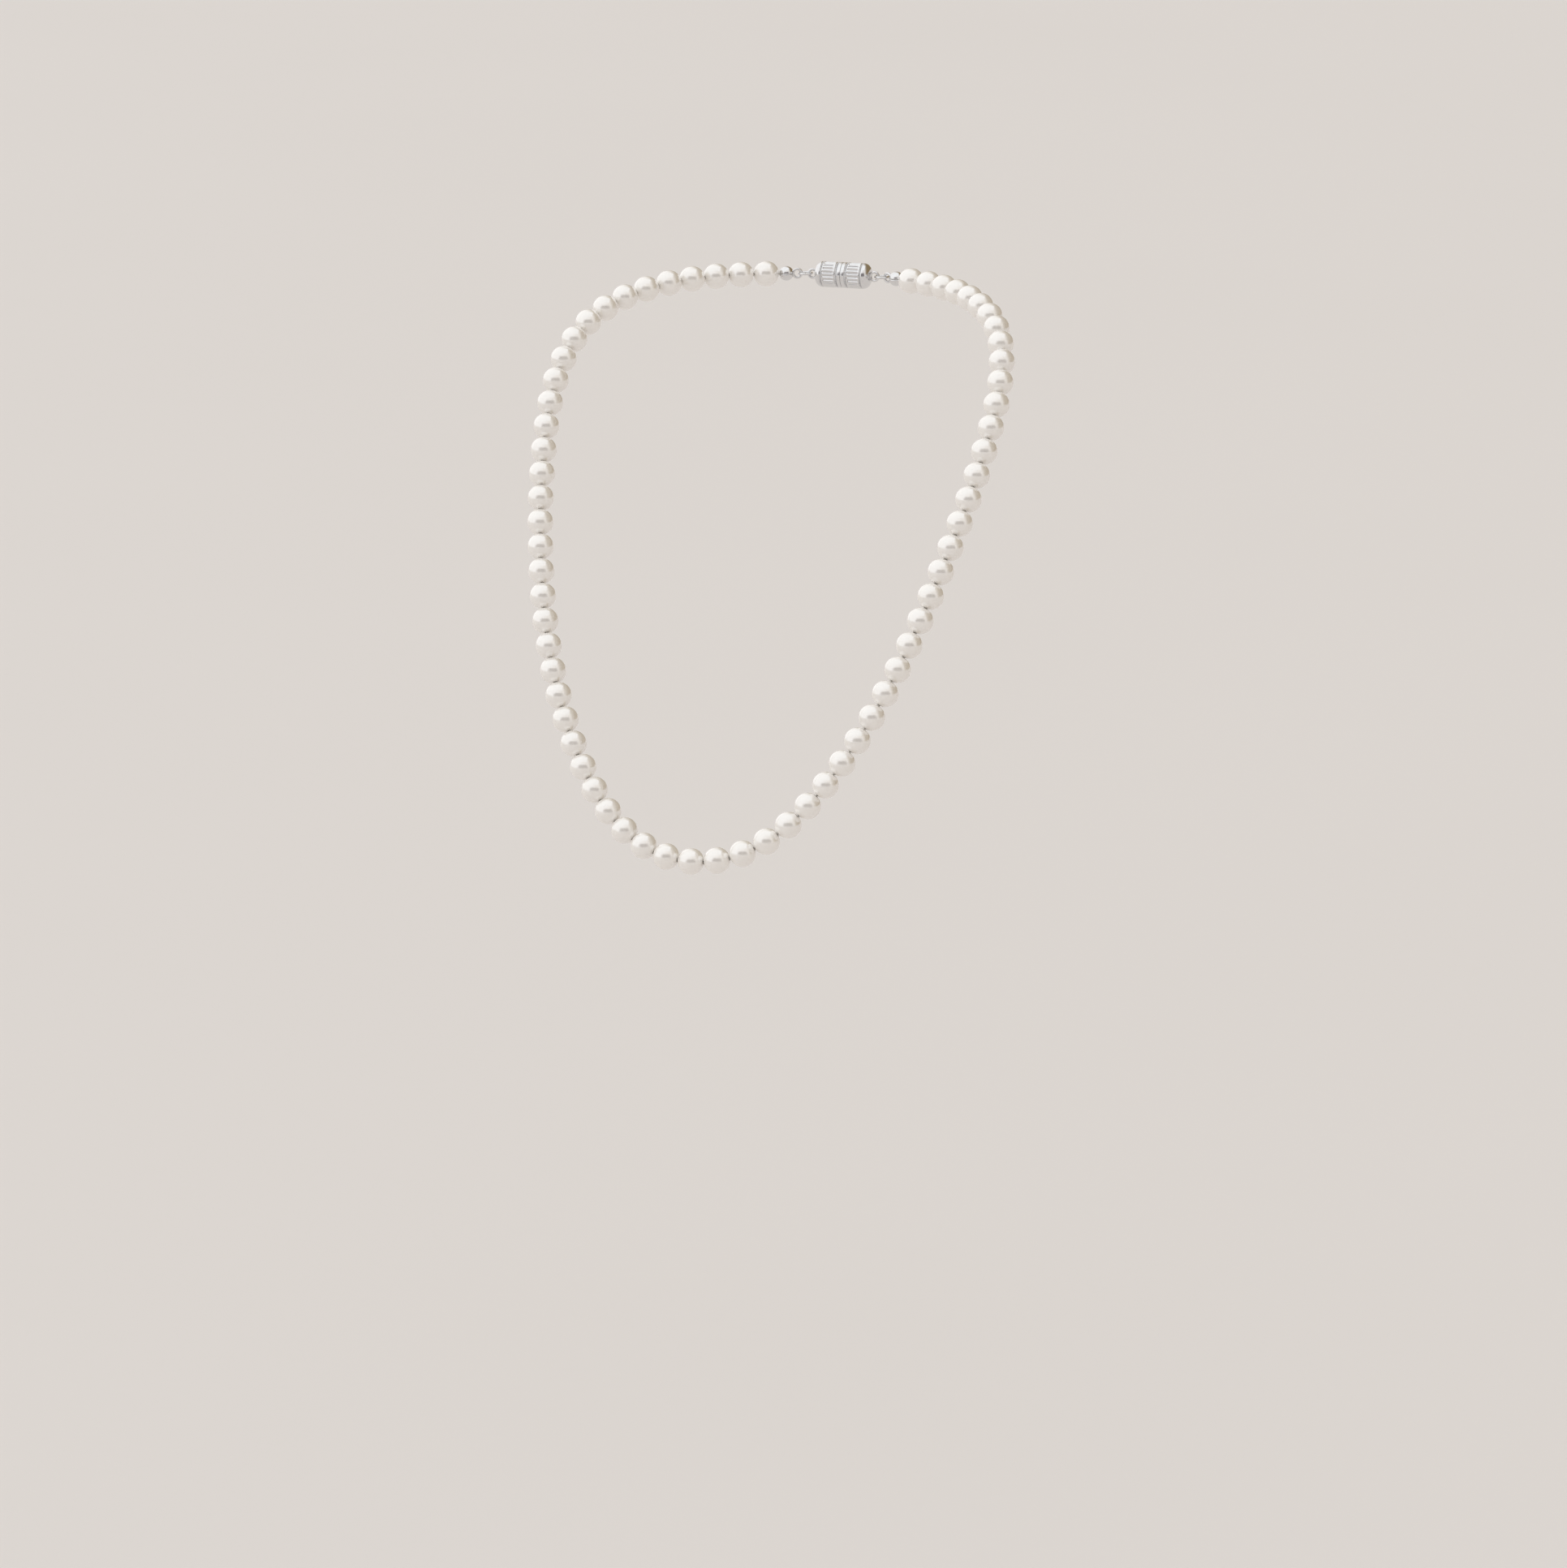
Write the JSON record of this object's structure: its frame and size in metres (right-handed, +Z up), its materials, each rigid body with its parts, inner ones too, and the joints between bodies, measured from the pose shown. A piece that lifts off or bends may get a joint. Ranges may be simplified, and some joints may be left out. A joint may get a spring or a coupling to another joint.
{
  "type": "pearl necklace",
  "caption": "Single strand of round white pearls on a thread, lying as it does around a neck, closed behind by a magnetic clasp.",
  "frame": {"origin": "centre of the neck that the strand goes round", "axes": "+X to the wearer's left, -Y to the wearer's front, +Z up. The strand is symmetric about X = 0"},
  "size_m": [0.112, 0.1151, 0.1225],
  "materials": {
    "pearl": "pearl lustre, high gloss",
    "thread": "twisted, matte",
    "clasp_metal": "polished silver plate",
    "crimp": "silver plate, pressed",
    "magnet": "nickel plate, satin"
  },
  "bodies": {
    "shoulders": {"pearls_left_07": "pearl", "thread_left_07": "thread", "pearls_right_07": "pearl", "thread_right_07": "thread"},
    "front": {"pearl_center": "pearl", "thread_front": "thread", "pearls_left_01": "pearl", "pearls_right_01": "pearl"},
    "left_section_02": {"pearls_left_02": "pearl", "thread_left_02": "thread"},
    "left_section_03": {"pearls_left_03": "pearl", "thread_left_03": "thread"},
    "left_section_04": {"pearls_left_04": "pearl", "thread_left_04": "thread"},
    "left_section_05": {"pearls_left_05": "pearl", "thread_left_05": "thread"},
    "left_section_06": {"pearls_left_06": "pearl", "thread_left_06": "thread"},
    "left_section_08": {"pearls_left_08": "pearl", "thread_left_08": "thread"},
    "left_section_09": {"pearls_left_09": "pearl", "thread_left_09": "thread"},
    "left_section_10": {"pearls_left_10": "pearl", "thread_left_10": "thread"},
    "left_clasp_end": {"pearls_left_11": "pearl", "thread_left_11": "thread", "bead_tip_left": "clasp_metal", "crimp_bead_left": "crimp", "jump_ring_left": "clasp_metal", "clasp_cup_left": "clasp_metal", "clasp_magnet_left": "magnet"},
    "right_section_02": {"pearls_right_02": "pearl", "thread_right_02": "thread"},
    "right_section_03": {"pearls_right_03": "pearl", "thread_right_03": "thread"},
    "right_section_04": {"pearls_right_04": "pearl", "thread_right_04": "thread"},
    "right_section_05": {"pearls_right_05": "pearl", "thread_right_05": "thread"},
    "right_section_06": {"pearls_right_06": "pearl", "thread_right_06": "thread"},
    "right_section_08": {"pearls_right_08": "pearl", "thread_right_08": "thread"},
    "right_section_09": {"pearls_right_09": "pearl", "thread_right_09": "thread"},
    "right_section_10": {"pearls_right_10": "pearl", "thread_right_10": "thread"},
    "right_clasp_end": {"pearls_right_11": "pearl", "thread_right_11": "thread", "bead_tip_right": "clasp_metal", "crimp_bead_right": "crimp", "jump_ring_right": "clasp_metal", "clasp_cup_right": "clasp_metal", "clasp_magnet_right": "magnet"}
  },
  "joints": [
    {"name": "left_lift_06", "type": "hinge", "parent": "shoulders", "child": "left_section_06", "pos_m": [0.0515, -0.01917, -0.02351], "axis": [-1, 0, 0], "range_deg": [0, 12]},
    {"name": "left_lift_05", "type": "hinge", "parent": "left_section_06", "child": "left_section_05", "pos_m": [0.04838, -0.02932, -0.03839], "axis": [-1, 0, 0], "range_deg": [0, 12]},
    {"name": "left_lift_04", "type": "hinge", "parent": "left_section_05", "child": "left_section_04", "pos_m": [0.04415, -0.03856, -0.05359], "axis": [-1, 0, 0], "range_deg": [0, 12]},
    {"name": "left_lift_03", "type": "hinge", "parent": "left_section_04", "child": "left_section_03", "pos_m": [0.03837, -0.0468, -0.06884], "axis": [-1, 0, 0], "range_deg": [0, 12]},
    {"name": "left_lift_02", "type": "hinge", "parent": "left_section_03", "child": "left_section_02", "pos_m": [0.03035, -0.05415, -0.08352], "axis": [-1, 0, 0], "range_deg": [0, 12]},
    {"name": "front_lift", "type": "hinge", "parent": "left_section_02", "child": "front", "pos_m": [0.01922, -0.0602, -0.09662], "axis": [-1, 0, 0], "range_deg": [0, 12]},
    {"name": "right_lift_06", "type": "hinge", "parent": "shoulders", "child": "right_section_06", "pos_m": [-0.0515, -0.01917, -0.02351], "axis": [-1, 0, 0], "range_deg": [0, 12]},
    {"name": "right_lift_05", "type": "hinge", "parent": "right_section_06", "child": "right_section_05", "pos_m": [-0.04838, -0.02932, -0.03839], "axis": [-1, 0, 0], "range_deg": [0, 12]},
    {"name": "right_lift_04", "type": "hinge", "parent": "right_section_05", "child": "right_section_04", "pos_m": [-0.04415, -0.03856, -0.05359], "axis": [-1, 0, 0], "range_deg": [0, 12]},
    {"name": "right_lift_03", "type": "hinge", "parent": "right_section_04", "child": "right_section_03", "pos_m": [-0.03837, -0.0468, -0.06884], "axis": [-1, 0, 0], "range_deg": [0, 12]},
    {"name": "right_lift_02", "type": "hinge", "parent": "right_section_03", "child": "right_section_02", "pos_m": [-0.03035, -0.05415, -0.08352], "axis": [-1, 0, 0], "range_deg": [0, 12]},
    {"name": "left_open_08", "type": "hinge", "parent": "shoulders", "child": "left_section_08", "pos_m": [0.05307, -0.00821, -0.00898], "axis": [0.4999, -0.0085, -0.866], "range_deg": [0, 15]},
    {"name": "left_open_09", "type": "hinge", "parent": "left_section_08", "child": "left_section_09", "pos_m": [0.05093, 0.00487, 0.00345], "axis": [0.4698, 0.171, -0.866], "range_deg": [0, 15]},
    {"name": "left_open_10", "type": "hinge", "parent": "left_section_09", "child": "left_section_10", "pos_m": [0.04259, 0.01933, 0.01051], "axis": [0.3968, 0.3042, -0.866], "range_deg": [0, 15]},
    {"name": "left_open_11", "type": "hinge", "parent": "left_section_10", "child": "left_clasp_end", "pos_m": [0.03029, 0.03259, 0.01281], "axis": [0.3322, 0.3737, -0.866], "range_deg": [0, 15]},
    {"name": "right_open_08", "type": "hinge", "parent": "shoulders", "child": "right_section_08", "pos_m": [-0.05307, -0.00821, -0.00898], "axis": [0.4999, 0.0085, 0.866], "range_deg": [0, 15]},
    {"name": "right_open_09", "type": "hinge", "parent": "right_section_08", "child": "right_section_09", "pos_m": [-0.05093, 0.00487, 0.00345], "axis": [0.4698, -0.171, 0.866], "range_deg": [0, 15]},
    {"name": "right_open_10", "type": "hinge", "parent": "right_section_09", "child": "right_section_10", "pos_m": [-0.04259, 0.01933, 0.01051], "axis": [0.3968, -0.3042, 0.866], "range_deg": [0, 15]},
    {"name": "right_open_11", "type": "hinge", "parent": "right_section_10", "child": "right_clasp_end", "pos_m": [-0.03029, 0.03259, 0.01281], "axis": [0.3322, -0.3737, 0.866], "range_deg": [0, 15]}
  ],
  "couplings": [
    {"joint": "right_lift_06", "follows": "left_lift_06", "ratio": 1},
    {"joint": "right_lift_05", "follows": "left_lift_05", "ratio": 1},
    {"joint": "right_lift_04", "follows": "left_lift_04", "ratio": 1},
    {"joint": "right_lift_03", "follows": "left_lift_03", "ratio": 1},
    {"joint": "right_lift_02", "follows": "left_lift_02", "ratio": 1}
  ]
}
